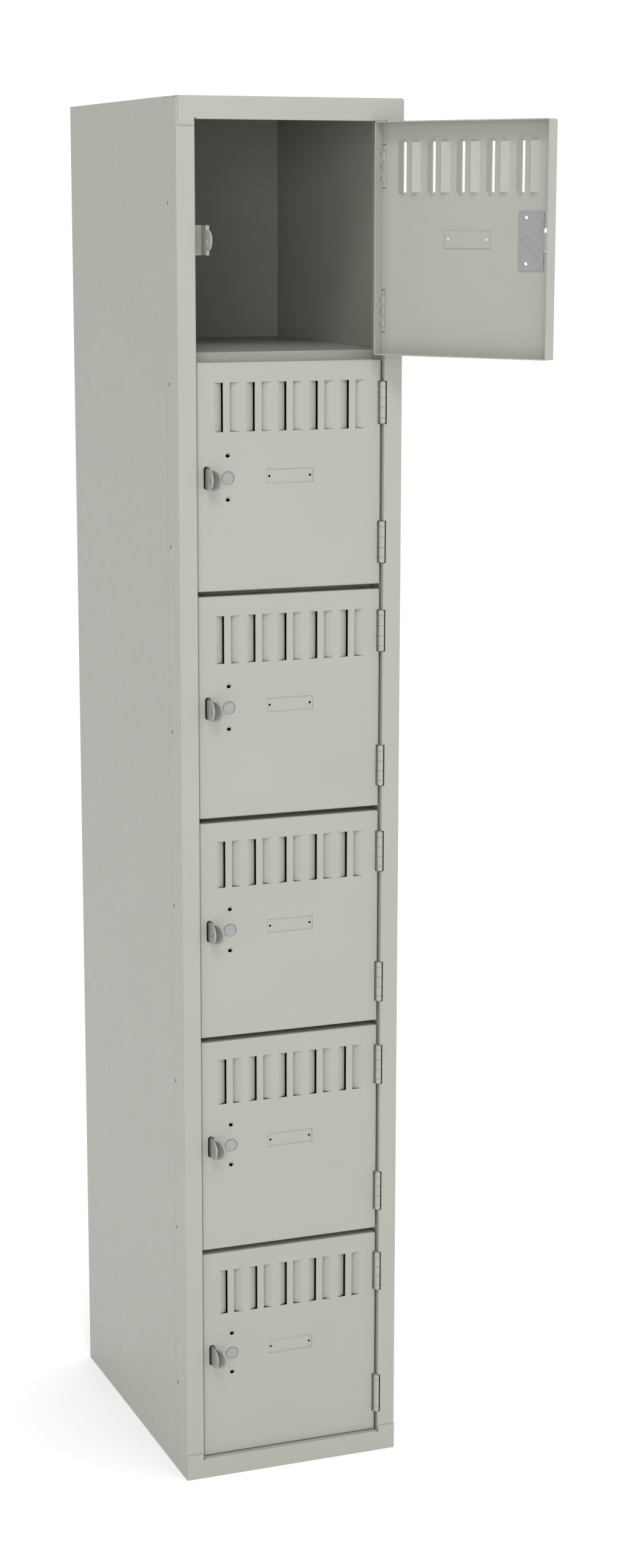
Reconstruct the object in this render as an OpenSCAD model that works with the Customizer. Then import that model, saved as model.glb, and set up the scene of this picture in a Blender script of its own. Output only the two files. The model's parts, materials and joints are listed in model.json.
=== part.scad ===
// Six-tier box locker in folded sheet steel, in millimetres.
// The origin is on the floor at the middle of the back panel's rear face, the doors face -Y, +Z is up.
// Drawing coordinates start at the front left foot: X to the right, Y to the back, Z up.

/* [Body] */
// Width over the two sides
body_w = 304.8; // [280:0.1:460]
// Depth from the face of the uprights to the back
body_d = 457.2; // [300:0.1:620]
// Height from the floor to the top
body_h = 1828.8; // [1700:0.1:1950]
// Sheet thickness of the sides, back, top, bottom and shelves
body_t = 0.8; // [0.6:0.1:1.0]

/* [Front frame] */
// Width of the face of each upright
upright_w = 24.8; // [22:0.1:26]
// Depth of the returns of the uprights
upright_d = 44.5; // [42:0.5:50]
// Sheet thickness of the uprights
frame_t = 1.5; // [1.2:0.1:1.6]
// Sheet thickness of the two rails, which lie on the uprights
rail_t = 1.2; // [1.0:0.1:1.2]
// Height of the face of the two rails between the uprights
rail_h = 28; // [26:0.5:30]
// How far the rails' corner tabs reach past the rails along the uprights
tab_h = 7.4; // [5:0.1:9]

/* [Doors] */
// Number of compartments, one above the other
tiers = 6; // [5:1:6]
// Opening angle of the top door
open_angle = 124.8; // [0:0.1:155]
// Sheet thickness of the doors
door_t = 1.5; // [1.2:0.1:1.5]
// Depth of the doors' folded edges behind their face
door_d = 20.6; // [16:0.1:20.6]
// How far the face of the doors lies behind the uprights
recess = 6.35; // [6:0.05:6.4]
// Gap between two doors
door_gap = 6.7; // [5:0.1:9]
// Clearance beside the doors
side_gap = 2.0; // [1.8:0.1:2.2]
// Rounding of the doors' corners, seen from the front
corner_r = 2.5; // [1.5:0.1:3]

/* [Vents] */
// Bars between the vents of one door
vent_count = 5; // [3:1:5]
// Distance from bar to bar
vent_pitch = 42.86; // [42:0.1:43]
// Width of a bar
vent_bar = 9.2; // [8:0.1:10]
// Width of the flap on each side of a bar
flap_w = 12.7; // [10:0.1:13]
// Height of the vents
vent_h = 61.8; // [40:0.1:70]
// Angle of the flaps
flap_angle = 27; // [20:1:30]
// Distance from the top of the door to the vents
vent_drop = 25.4; // [20:0.1:30]

/* [Hinges] */
// Length of a hinge
hinge_l = 52.8; // [48:0.1:54]
// Distance of the hinges from the middle of the door
hinge_z = 90; // [80:1:100]
// Outer diameter of the knuckles
barrel_d = 7.6; // [7:0.1:7.6]
// Diameter of the hinge pin
pin_d = 5.8; // [5:0.1:5.8]
// Thickness of the hinge leaves
leaf_t = 0.8; // [0.6:0.1:0.8]

/* [Latch] */
// Width of the latch plate
plate_w = 35.6; // [32:0.1:36]
// Height of the latch plate
plate_h = 72; // [68:0.1:76]
// Thickness of the latch plate
plate_t = 1.2; // [1.0:0.1:1.2]
// Distance between the two lock screw holes
lock_pitch = 55.9; // [50:0.1:60]
// Diameter of the lock screw holes in the door
lock_hole_d = 6.35; // [6:0.05:6.5]
// Diameter of the lock screw holes in the latch plate
plate_hole_d = 5.6; // [5:0.1:6]
// How far the latch plate hangs below the middle of the door
plate_drop = 1.4; // [1.2:0.1:1.4]
// Distance from the left edge of the door to the lock holes
lock_inset = 41.2; // [40.5:0.1:42]
// Diameter of the hole in the padlock lug
shackle_d = 6.6; // [6:0.1:8]

/* [Number plate] */
// Width of the number plate's recess
label_w = 63.8; // [60:0.1:70]
// Height of the number plate's recess
label_h = 18.7; // [16:0.1:20]
// Distance between the number plate's holes
label_pitch = 55.7; // [50:0.1:56]
// Diameter of the number plate's holes
label_hole_d = 3.2; // [2.5:0.1:3.5]

/* [Side holes] */
// Distance from the front of the uprights to the holes in the sides
gang_inset = 35; // [34:0.5:38]
// Diameter of the holes in the sides
gang_d = 5.5; // [4:0.1:6]

/* [Hidden] */
$fn = 48;
paint = [0.74, 0.75, 0.71];
zinc = [0.62, 0.62, 0.63];
eps = 0.01;
through = 10;

// Doors
pitch = (body_h - 50.8) / tiers;
door_h = pitch - door_gap;
door_x0 = upright_w + side_gap;
door_x1 = body_w - upright_w - side_gap;
door_w = door_x1 - door_x0;
door_r = 2.0;
skin_y = recess + door_t;
lock_x = door_x0 + lock_inset;
label_x = body_w / 2;
label_depth = 1.0;
lock_z = 0.3;
boss_d = 15.6;
boss_hole_d = 17.6;
boss_hole_z = -0.45;

// Hinges: the axis lies midway in the gap between the door and the upright
axis_x = door_x1 + side_gap / 2;
axis_y = 3;
knuckle_gap = 0.4;
knuckle_h = hinge_l / 4;
stem_y = axis_y + barrel_d / 2 + 2.2;
leaf_back = 26;
rivet_pitch = 15.4;
rivet_y = 15;
rivet_d = 5.6;
rivet_bore = 4.2;
rivet_head_d = 6.8;
rivet_head_t = 0.4;
notch_h = hinge_l + 2.2;
door_notch = 4.3;
fold_notch_y = 11.4;
upright_notch = 3.6;

// Padlock lug and pull
lug_z = -1.2;
lug_x = 39.0;
lug_t = 1.6;
lug_r = 12.6;
lug_tip = -17.3;
shackle_y = -3.6;
shackle_z = -2.1;
stop_y = 9.6;
bracket_h = 36.9;
bracket_t = 1.5;
bracket_x = 41.6;
bracket_y = recess + door_d + 0.6;
bracket_leg = 15;
shoulder_w = 4.4;
slot_x0 = 35.4;
slot_w = 8.4;
slot_h = 29;
slot_z = 0.2;
slot_r = 3.5;
pull_x = 42.2;
pull_r = 12.6;
pull_z = -1;
tongue_h = 11.6;
pull_lean = 31;
pull_reach = 18;
pull_y = -3;
plate_inset = 25.4;

// Body sheets
flange = 15;
shelf_lip = 25;
floor_z = 32.7;
lap_front = 26;
lap_end = upright_d + 0.4;
lap_step = 0.6;
fold_notch = 5;
upright_h = body_h - rail_t - body_t;
// Holes in the sides, as distances above and below the middle of the height
gang_offsets = [115.9, 355.9, 561.4, 784.9];
gang_z = [for (d = gang_offsets) for (s = [-1, 1]) body_h / 2 + s * d];

// Rails: the top rail's face runs almost to the corners, the bottom rail's stops inside the sides
rail_gap = 0.3;
rail_flange = 15;
rail_hem = 24;
top_inset = 2.5;
bottom_inset = 0.4;
tab_gap = 1.5;
relief_d = 2.0;

function names(base) = [for (i = [1:tiers]) str(base, i)];

// Height of the middle of door i, counted from the top
function door_z(i) = 25.4 + pitch * (tiers - i + 0.5);
function angle_of(i) = i == 1 ? open_angle : 0;

// Outline of a bent strip of thickness t whose middle line passes through the points p
function unit(v) = v / norm(v);
function side_of(v) = [-v[1], v[0]];
function mitre(p, k) =
    let (a = unit(p[max(k, 1)] - p[max(k, 1) - 1]),
         b = unit(p[min(k, len(p) - 2) + 1] - p[min(k, len(p) - 2)]),
         m = unit(side_of(a) + side_of(b)))
    m / (m * side_of(a));
function ribbon(p, t) = concat(
    [for (k = [0:len(p) - 1]) p[k] + mitre(p, k) * t / 2],
    [for (k = [len(p) - 1:-1:0]) p[k] - mitre(p, k) * t / 2]);
// Points on an arc about c, from angle a to angle b
function arc(c, r, a, b, n = 5) =
    [for (k = [0:n]) let (f = a + (b - a) * k / n) c + r * [cos(f), sin(f)]];

// Moves drawing coordinates to the part's own frame
module placed() {
    translate([-body_w / 2, body_t - body_d, 0]) children();
}

module mirrored() {
    translate([body_w, 0, 0]) mirror([1, 0, 0]) children();
}

// Turns what belongs to door i about its hinge axis, and lifts it to the door's height
module hung(i) {
    placed() translate([axis_x, axis_y, door_z(i)]) rotate([0, 0, angle_of(i)])
        translate([-axis_x, -axis_y, 0]) children();
}

module fixed(i) {
    placed() translate([0, 0, door_z(i)]) children();
}

// Box between two corners
module block(a, b) {
    translate(a) cube(b - a);
}

// Hole along Y or X
module drill_y(x, y, z, d, l) {
    translate([x, y, z]) rotate([90, 0, 0]) cylinder(h = l, d = d, center = true);
}

module drill_x(x, y, z, d, l) {
    translate([x, y, z]) rotate([0, 90, 0]) cylinder(h = l, d = d, center = true);
}

// Rectangle with two round corners on the side of small Y
module round_front(w, d, r) {
    translate([r, 0]) square([w - 2 * r, d]);
    translate([0, r]) square([w, d - r]);
    translate([r, r]) circle(r);
    translate([w - r, r]) circle(r);
}

module round_all(w, h, r) {
    translate([r, 0]) square([w - 2 * r, h]);
    translate([0, r]) square([w, h - 2 * r]);
    for (x = [r, w - r]) for (y = [r, h - r]) translate([x, y]) circle(r);
}

// Solid with rounded front edges, standing on Z = 0
module soft_block(w, d, h, r) {
    intersection() {
        linear_extrude(h) round_front(w, d, r);
        rotate([90, 0, 90]) linear_extrude(w)
            mirror([1, -1]) round_front(h, d, r);
    }
}

// ---- Body sheets ----

// Side: its front edge steps in under the upright's outer return, its back edge is folded in
module side_panel() {
    lap_x = frame_t + body_t / 2;
    skin_x = body_t / 2;
    r = 1.2;
    line = concat(
        [[lap_x, lap_front], [lap_x, lap_end], [skin_x, lap_end + lap_step]],
        arc([skin_x + r, body_d - skin_x - r], r, 180, 90, 3),
        [[flange, body_d - skin_x]]);
    difference() {
        linear_extrude(body_h) polygon(ribbon(line, body_t));
        for (z = gang_z) drill_x(1, gang_inset, z, gang_d, through);
    }
}

module left_side() {
    color(paint) placed() side_panel();
}

module right_side() {
    color(paint) placed() mirrored() side_panel();
}

module back_panel() {
    color(paint) placed()
        block([2 * body_t, body_d - 2 * body_t, 0], [body_w - 2 * body_t, body_d - body_t, body_h]);
}

// Pan with its folded edges down; the front corners are cut back beside the side panels' step,
// and the rear ones are notched so that the edges can be folded
module pan(top_z, front_y, lip, edge) {
    y1 = body_d - 2 * body_t;
    step_y = upright_d + 3;
    step_x = frame_t + body_t + 0.1;
    difference() {
        union() {
            block([body_t, step_y, top_z - edge], [body_w - body_t, y1, top_z]);
            block([step_x, front_y, top_z - max(lip, body_t)], [body_w - step_x, step_y, top_z]);
        }
        block([2 * body_t, step_y - eps, top_z - edge - 1],
            [body_w - 2 * body_t, y1 - body_t, top_z - body_t]);
        block([step_x - 1, front_y + body_t, top_z - lip - 1], [body_w - step_x + 1, step_y, top_z - body_t]);
        for (x = [body_t, body_w - body_t])
            block([x - fold_notch, y1 - fold_notch, top_z - edge - 1], [x + fold_notch, y1 + 1, top_z - body_t]);
    }
}

module top_panel() {
    color(paint) placed() pan(body_h - rail_t, 0.2, 0, flange);
}

module bottom_panel() {
    color(paint) placed() pan(floor_z, upright_d, shelf_lip, flange);
}

module shelf(i) {
    color(paint) placed() pan(floor_z + pitch * (tiers - i), upright_d, shelf_lip, flange);
}

// ---- Front frame ----

// Channel with a face at Y = 0; the inner return is notched where knuckles lie in it
module upright(height) {
    difference() {
        linear_extrude(height) difference() {
            round_front(upright_w, upright_d, frame_t + 0.3);
            translate([frame_t, frame_t])
                round_front(upright_w - 2 * frame_t, upright_d, 0.3);
        }
        for (z = gang_z) drill_x(1, gang_inset, z, gang_d, through);
    }
}

module left_upright() {
    color(paint) placed() upright(upright_h);
}

module right_upright() {
    x0 = body_w - upright_w;
    color(paint) placed() difference() {
        mirrored() upright(upright_h);
        for (i = [1:tiers]) for (s = [-1, 1]) translate([0, 0, door_z(i) + s * hinge_z])
            block([x0 - 1, -1, -notch_h / 2], [x0 + upright_notch, 8, notch_h / 2]);
    }
}

// Rail drawn as the top rail seen from below its own lower edge at Z = 0, face at Y = -rail_t
module rail(inset, hem) {
    open_x = upright_w + rail_gap;
    difference() {
        union() {
            block([inset, -rail_t, 0], [body_w - inset, 0, rail_h]);
            for (s = [0, 1]) translate([s * body_w, 0, 0]) mirror([s, 0, 0])
                block([inset, -rail_t, -tab_h], [upright_w - tab_gap, 0, 0]);
            block([open_x, -rail_t, 0], [body_w - open_x, rail_flange, rail_t]);
            block([hem, -rail_t, rail_h - rail_t], [body_w - hem, rail_hem, rail_h]);
        }
        for (x = [open_x, body_w - open_x]) drill_y(x, 0, relief_d * 0.3, relief_d, 60);
    }
}

module top_rail() {
    color(paint) placed() translate([0, 0, body_h - rail_h]) rail(top_inset, top_inset);
}

module bottom_rail() {
    color(paint) placed() translate([0, 0, rail_h]) mirror([0, 0, 1])
        rail(bottom_inset, upright_w + rail_gap);
}

// ---- Padlock lugs, welded to the left upright ----

module lug_outline() {
    r = lug_r;
    translate([lug_tip + r, 0]) circle(r);
    translate([lug_tip + r, -r]) square([stop_y + bracket_t - lug_tip - r, 2 * r]);
}

module padlock_lug(i) {
    h = bracket_h / 2;
    t = bracket_t;
    color(paint) fixed(i) translate([0, 0, lug_z]) difference() {
        union() {
            block([upright_w, bracket_y, -h], [upright_w + t, bracket_y + bracket_leg, h]);
            block([upright_w, bracket_y, -h], [bracket_x + t, bracket_y + t, h]);
            block([bracket_x, stop_y, -h], [bracket_x + t, bracket_y + t, h]);
            block([bracket_x, stop_y, -h], [bracket_x + shoulder_w, stop_y + t, h]);
            block([lug_x, stop_y, -lug_r], [bracket_x + t, stop_y + t, lug_r]);
            translate([lug_x, 0, 0]) rotate([90, 0, 90]) linear_extrude(lug_t) lug_outline();
        }
        drill_x(lug_x, shackle_y, shackle_z, shackle_d, through);
    }
}

// ---- Doors ----

// One flap, hinged at X = 0 on the door's skin and leaning in towards +X
module flap() {
    bend_r = 3;
    mid = recess + door_t / 2;
    c = [0, mid + bend_r];
    bend_end = c + bend_r * [sin(flap_angle), -cos(flap_angle)];
    rest = flap_w - bend_r * flap_angle * PI / 180;
    line = concat([[-1, mid]], arc(c, bend_r, -90, -90 + flap_angle, 3),
        [bend_end + rest * [cos(flap_angle), sin(flap_angle)]]);
    slit = 0.2;
    translate([0, 0, slit]) linear_extrude(vent_h - 2 * slit) polygon(ribbon(line, door_t));
}

module at_flaps() {
    z0 = door_h / 2 - vent_drop - vent_h;
    far = vent_bar / 2 + flap_w;
    for (k = [0:vent_count - 1]) for (s = [0, 1])
        translate([body_w / 2 + (k - (vent_count - 1) / 2) * vent_pitch, 0, z0])
            mirror([s, 0, 0]) translate([-far, 0, 0]) children();
}

// Folded edges all round, with the opening towards the back
module door_pan() {
    t = door_t;
    h = door_h / 2;
    difference() {
        intersection() {
            translate([door_x0, recess, -h]) soft_block(door_w, door_d, door_h, door_r);
            translate([door_x0, recess + door_d, -h]) rotate([90, 0, 0])
                linear_extrude(door_d) round_all(door_w, door_h, corner_r);
        }
        translate([door_x0 + t, skin_y, t - h])
            soft_block(door_w - 2 * t, door_d, door_h - 2 * t, door_r - t);
    }
}

module slot() {
    translate([slot_x0, skin_y + 1, slot_z - slot_h / 2]) rotate([90, 0, 0])
        linear_extrude(door_t + 2) round_all(slot_w, slot_h, slot_r);
}

module door_panel(i) {
    x0 = label_x - label_w / 2;
    wall = 1.2;
    color(paint) hung(i) difference() {
        union() {
            difference() {
                door_pan();
                at_flaps() block([0, recess - 1, 0], [flap_w, skin_y + 1, vent_h]);
            }
            at_flaps() flap();
            block([x0 - wall, skin_y - eps, -label_h / 2 - wall],
                [x0 + label_w + wall, skin_y + label_depth, label_h / 2 + wall]);
        }
        block([x0, recess - 1, -label_h / 2], [x0 + label_w, recess + label_depth, label_h / 2]);
        for (s = [-1, 1]) {
            drill_y(label_x + s * label_pitch / 2, skin_y, 0, label_hole_d, through);
            drill_y(lock_x, skin_y, lock_z + s * lock_pitch / 2, lock_hole_d, through);
            translate([0, 0, s * hinge_z])
                block([door_x1 - door_notch, recess - 1, -notch_h / 2],
                    [door_x1 + 1, fold_notch_y, notch_h / 2]);
            for (k = [-1:1])
                drill_x(door_x1, rivet_y, s * hinge_z + k * rivet_pitch, rivet_d, through);
        }
        drill_y(lock_x, skin_y, boss_hole_z, boss_hole_d, through);
        slot();
    }
}

// Middle line of the plate's lower layer: behind the door, out through the slot and leaning to the right
function pull_line(x0, mid) =
    let (bend_r = 1.6, flare_r = 5,
         flare_c = [pull_x + flare_r, 1],
         flare = flare_c - flare_r * [cos(pull_lean), sin(pull_lean)])
    concat([[x0, mid]],
        arc([pull_x + bend_r, mid - bend_r], bend_r, 90, 180, 4),
        arc(flare_c, flare_r, 180, 180 + pull_lean, 4),
        [flare + pull_reach * [sin(pull_lean), -cos(pull_lean)]]);

// Plate behind the door with a boss in the lock hole and a pull that comes out beside the lug
module latch_plate(i) {
    y1 = skin_y + plate_t;
    x0 = lock_x - plate_inset;
    boss_y = recess + 0.6;
    color(zinc) hung(i) translate([0, 0, -plate_drop]) difference() {
        union() {
            translate([x0, y1, -plate_h / 2]) rotate([90, 0, 0])
                linear_extrude(plate_t) round_all(plate_w, plate_h, 1.5);
            drill_y(lock_x, (boss_y + y1) / 2, 0, boss_d, y1 - boss_y);
            intersection() {
                translate([0, 0, -2 * pull_r]) linear_extrude(4 * pull_r)
                    polygon(ribbon(pull_line(x0 + 2, skin_y + plate_t / 2), plate_t));
                union() {
                    block([x0, pull_y, -tongue_h], [x0 + plate_w, y1, tongue_h + pull_z]);
                    translate([x0, pull_y, pull_z]) rotate([0, 90, 0]) cylinder(h = plate_w, r = pull_r);
                }
            }
        }
        drill_y(lock_x, y1 + through / 2, 0, boss_d - 2 * plate_t, through + 2 * (y1 - boss_y - plate_t));
        for (s = [-1, 1]) drill_y(lock_x, skin_y, s * lock_pitch / 2, plate_hole_d, through);
    }
}

// ---- Hinges ----

// Knuckle k of five, counted from below; the two end ones are half as long
function knuckle_z0(k) = k == 0 ? 0 : (k - 0.5) * knuckle_h;
function knuckle_z1(k) = k == 4 ? 4 * knuckle_h : (k + 0.5) * knuckle_h;

module knuckles(list, x0, x1) {
    g = knuckle_gap / 2;
    difference() {
        for (k = list) {
            z0 = knuckle_z0(k) + (k == 0 ? 0 : g) - hinge_l / 2;
            z1 = knuckle_z1(k) - (k == 4 ? 0 : g) - hinge_l / 2;
            translate([axis_x, axis_y, z0]) cylinder(h = z1 - z0, d = barrel_d);
            block([x0, axis_y, z0], [x1, stem_y + eps, z1]);
        }
        translate([axis_x, axis_y, -hinge_l]) cylinder(h = 2 * hinge_l, d = pin_d + 0.1);
    }
    block([x0, stem_y, -hinge_l / 2], [x1, leaf_back, hinge_l / 2]);
}

module hinge_frame_leaves(i) {
    x1 = body_w - upright_w;
    color(paint) fixed(i) for (s = [-1, 1]) translate([0, 0, s * hinge_z])
        knuckles([0, 2, 4], x1 - leaf_t, x1);
}

module hinge_door_leaves(i) {
    color(paint) hung(i) for (s = [-1, 1]) translate([0, 0, s * hinge_z]) difference() {
        knuckles([1, 3], door_x1, door_x1 + leaf_t);
        for (k = [-1:1]) drill_x(door_x1, rivet_y, k * rivet_pitch, rivet_d, through);
    }
}

// Pin with slightly domed ends
module hinge_pins(i) {
    dome = 0.8;
    r = pin_d / 2;
    color(paint) fixed(i) for (s = [-1, 1])
        translate([axis_x, axis_y, s * hinge_z - hinge_l / 2]) rotate_extrude()
            polygon(concat([[0, -dome]],
                [for (a = [15:15:75]) [r * sin(a), -dome * cos(a)]],
                [[r, 0], [r, hinge_l]],
                [for (a = [75:-15:15]) [r * sin(a), hinge_l + dome * cos(a)]],
                [[0, hinge_l + dome]]));
}

// Tubular rivets that hold the door leaves to the door's folded edge
module hinge_rivets(i) {
    x0 = door_x1 - door_t;
    color(paint) hung(i) for (s = [-1, 1]) for (k = [-1:1])
        translate([x0, rivet_y, s * hinge_z + k * rivet_pitch]) rotate([0, 90, 0]) difference() {
            union() {
                translate([0, 0, -rivet_head_t]) cylinder(h = rivet_head_t, d = rivet_head_d);
                cylinder(h = door_t + leaf_t, d = rivet_d);
            }
            translate([0, 0, -1]) cylinder(h = 10, d = rivet_bore);
        }
}

left_side();
right_side();
back_panel();
top_panel();
bottom_panel();
left_upright();
right_upright();
top_rail();
bottom_rail();
for (i = [1:tiers - 1]) {
    shelf(i);
}
for (i = [1:tiers]) {
    padlock_lug(i);
    hinge_frame_leaves(i);
    hinge_pins(i);
    door_panel(i);
    latch_plate(i);
    hinge_door_leaves(i);
    hinge_rivets(i);
}
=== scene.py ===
import json
import math

import bpy
from mathutils import Euler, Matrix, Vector

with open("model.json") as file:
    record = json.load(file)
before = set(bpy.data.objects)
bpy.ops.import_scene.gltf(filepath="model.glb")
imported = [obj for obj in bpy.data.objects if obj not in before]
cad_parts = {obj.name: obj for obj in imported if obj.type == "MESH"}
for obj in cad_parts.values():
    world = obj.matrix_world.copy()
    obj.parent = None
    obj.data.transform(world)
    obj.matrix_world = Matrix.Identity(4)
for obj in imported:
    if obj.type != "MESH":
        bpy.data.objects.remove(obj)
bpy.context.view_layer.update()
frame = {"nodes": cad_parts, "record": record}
NODES = frame["nodes"]
SLOT_OF = {part["node"]: part["material_slot"] for part in frame["record"]["subparts"]}

MM = 0.001
FLOOR_SPAN = 40

# Noise scales in features per metre
CLOUD, BLOTCH, PEEL, GRAIN = 9, 60, 420, 2600
MOTTLE, STREAK = 140, 900


# ---- Camera ----

def make_camera():
    """A 65 mm lens at standing eye height, to the left of the cabinet and looking slightly down."""
    data = bpy.data.cameras.new("camera")
    data.sensor_width = 36
    data.lens = 64.99
    data.shift_x = 0.01026
    data.shift_y = 0.02618
    data.clip_start, data.clip_end = 0.1, 60
    camera = bpy.data.objects.new("camera", data)
    bpy.context.scene.collection.objects.link(camera)
    camera.location = Vector((-1.2869, -3.8526, 1.6927))
    camera.rotation_euler = Euler([math.radians(a) for a in (77.717, -0.043, -20.974)])
    bpy.context.scene.camera = camera


# ---- Light and floor ----

def make_area_light(name, place, target, size, power):
    """A rectangular lamp of so many watts, turned from its place towards the target."""
    data = bpy.data.lights.new(name, "AREA")
    data.shape = "RECTANGLE"
    data.size, data.size_y = size
    data.energy = power
    light = bpy.data.objects.new(name, data)
    bpy.context.scene.collection.objects.link(light)
    light.location = place
    light.rotation_euler = (Vector(target) - Vector(place)).to_track_quat("-Z", "Y").to_euler()


def make_world(strength, lean):
    """White all round, brighter or darker by the dot product of the direction with lean."""
    world = bpy.data.worlds.new("studio")
    bpy.context.scene.world = world
    world.use_nodes = True
    tree = world.node_tree
    sky = tree.nodes["Background"]
    sky.inputs["Color"].default_value = (1, 1, 1, 1)
    direction = tree.nodes.new("ShaderNodeTexCoord")
    dot = tree.nodes.new("ShaderNodeVectorMath")
    dot.operation = "DOT_PRODUCT"
    dot.inputs[1].default_value = lean
    total = tree.nodes.new("ShaderNodeMath")
    total.operation = "ADD"
    total.inputs[1].default_value = strength
    tree.links.new(direction.outputs["Generated"], dot.inputs[0])
    tree.links.new(dot.outputs["Value"], total.inputs[0])
    tree.links.new(total.outputs["Value"], sky.inputs["Strength"])


def make_floor():
    """A pale floor that glows faintly, so that it stays near white around the cabinet."""
    bpy.ops.mesh.primitive_plane_add(size=FLOOR_SPAN)
    floor = bpy.context.object
    floor.name = "floor"
    material = bpy.data.materials.new("floor")
    material.use_nodes = True
    shader = material.node_tree.nodes["Principled BSDF"]
    shader.inputs["Base Color"].default_value = (0.96, 0.96, 0.96, 1)
    shader.inputs["Emission Color"].default_value = (1, 1, 1, 1)
    shader.inputs["Emission Strength"].default_value = 0.06
    shader.inputs["Roughness"].default_value = 0.9
    shader.inputs["Specular IOR Level"].default_value = 0.1
    floor.data.materials.append(material)


# ---- Materials ----

def new_material(name):
    material = bpy.data.materials.new(name)
    material.use_nodes = True
    return material, material.node_tree, material.node_tree.nodes["Principled BSDF"]


def noise(tree, scale, detail=2.0, stretch=(1, 1, 1)):
    """Noise in the object's own metres, with features about 1 / scale across."""
    place = tree.nodes.new("ShaderNodeTexCoord")
    mapping = tree.nodes.new("ShaderNodeMapping")
    mapping.inputs["Scale"].default_value = stretch
    texture = tree.nodes.new("ShaderNodeTexNoise")
    texture.inputs["Scale"].default_value = scale
    texture.inputs["Detail"].default_value = detail
    tree.links.new(place.outputs["Object"], mapping.inputs["Vector"])
    tree.links.new(mapping.outputs["Vector"], texture.inputs["Vector"])
    return texture.outputs["Fac"]


def spread(tree, value, low, high):
    """Maps noise, which mostly lies between 0.3 and 0.7, to low .. high."""
    node = tree.nodes.new("ShaderNodeMapRange")
    node.inputs["From Min"].default_value = 0.3
    node.inputs["From Max"].default_value = 0.7
    node.inputs["To Min"].default_value = low
    node.inputs["To Max"].default_value = high
    tree.links.new(value, node.inputs["Value"])
    return node.outputs["Result"]


def blend_colours(tree, share, first, second):
    node = tree.nodes.new("ShaderNodeMix")
    node.data_type = "RGBA"
    node.inputs["A"].default_value = (*first, 1)
    node.inputs["B"].default_value = (*second, 1)
    tree.links.new(share, node.inputs["Factor"])
    return node.outputs["Result"]


def bump(tree, height, strength, distance, under=None):
    node = tree.nodes.new("ShaderNodeBump")
    node.inputs["Strength"].default_value = strength
    node.inputs["Distance"].default_value = distance
    tree.links.new(height, node.inputs["Height"])
    if under is not None:
        tree.links.new(under, node.inputs["Normal"])
    return node.outputs["Normal"]


def rounded_edges(tree, radius):
    """Normals that round the sharp edges, so that sheet edges and folds catch the light."""
    node = tree.nodes.new("ShaderNodeBevel")
    node.samples = 6
    node.inputs["Radius"].default_value = radius
    return node.outputs["Normal"]


def powder_coat(name, colour):
    """Satin powder coat: cloudy by about one percent, with the fine orange peel of baked powder."""
    material, tree, shader = new_material(name)
    lighter = [c * 1.012 for c in colour]
    darker = [c * 0.988 for c in colour]
    cloud = spread(tree, noise(tree, CLOUD), low=0, high=1)
    tree.links.new(blend_colours(tree, cloud, darker, lighter), shader.inputs["Base Color"])
    gloss = spread(tree, noise(tree, BLOTCH), low=0.33, high=0.39)
    tree.links.new(gloss, shader.inputs["Roughness"])
    edges = rounded_edges(tree, 0.6 * MM)
    peel = bump(tree, noise(tree, PEEL, detail=1.0), strength=0.10, distance=0.3 * MM, under=edges)
    grain = bump(tree, noise(tree, GRAIN, detail=1.0), strength=0.05, distance=0.05 * MM, under=peel)
    tree.links.new(grain, shader.inputs["Normal"])
    shader.inputs["Specular IOR Level"].default_value = 0.25
    return material


def zinc_plate(name, colour):
    """Dull zinc plate over rolled steel: faint rolling streaks along Z and a mottled passivation."""
    material, tree, shader = new_material(name)
    lighter = [c * 1.05 for c in colour]
    darker = [c * 0.94 for c in colour]
    mottle = spread(tree, noise(tree, MOTTLE, detail=3.0), low=0, high=1)
    tree.links.new(blend_colours(tree, mottle, darker, lighter), shader.inputs["Base Color"])
    streaks = noise(tree, STREAK, detail=3.0, stretch=(1, 1, 0.05))
    tree.links.new(spread(tree, streaks, low=0.40, high=0.55), shader.inputs["Roughness"])
    edges = rounded_edges(tree, 0.3 * MM)
    rolled = bump(tree, streaks, strength=0.15, distance=0.05 * MM, under=edges)
    tree.links.new(rolled, shader.inputs["Normal"])
    shader.inputs["Metallic"].default_value = 0.55
    return material


PAINT = (0.338, 0.350, 0.306)
ZINC = (0.33, 0.33, 0.332)
MATERIALS = {
    "paint_body": powder_coat("paint_body", PAINT),
    "paint_frame": powder_coat("paint_frame", PAINT),
    "paint_door": powder_coat("paint_door", PAINT),
    "paint_hinge": powder_coat("paint_hinge", PAINT),
    "zinc": zinc_plate("zinc", ZINC),
}


def dress(node):
    """Gives a CAD node the material of its slot in the record."""
    slots = node.data.materials
    material = MATERIALS[SLOT_OF[node.name]]
    if not slots:
        slots.append(material)
    for k in range(len(slots)):
        slots[k] = material


make_camera()
make_world(strength=1.0, lean=(0.34, -0.05, 0))
make_area_light("key", place=(-0.7, -3.0, 4.6), target=(0, -0.45, 1.0), size=(1.0, 1.0), power=58)
make_area_light("fill", place=(-2.6, -5.0, 2.0), target=(0, -0.45, 1.2), size=(1.6, 1.6), power=56)
make_floor()
for node in NODES.values():
    dress(node)

bpy.context.scene.view_settings.view_transform = "Standard"
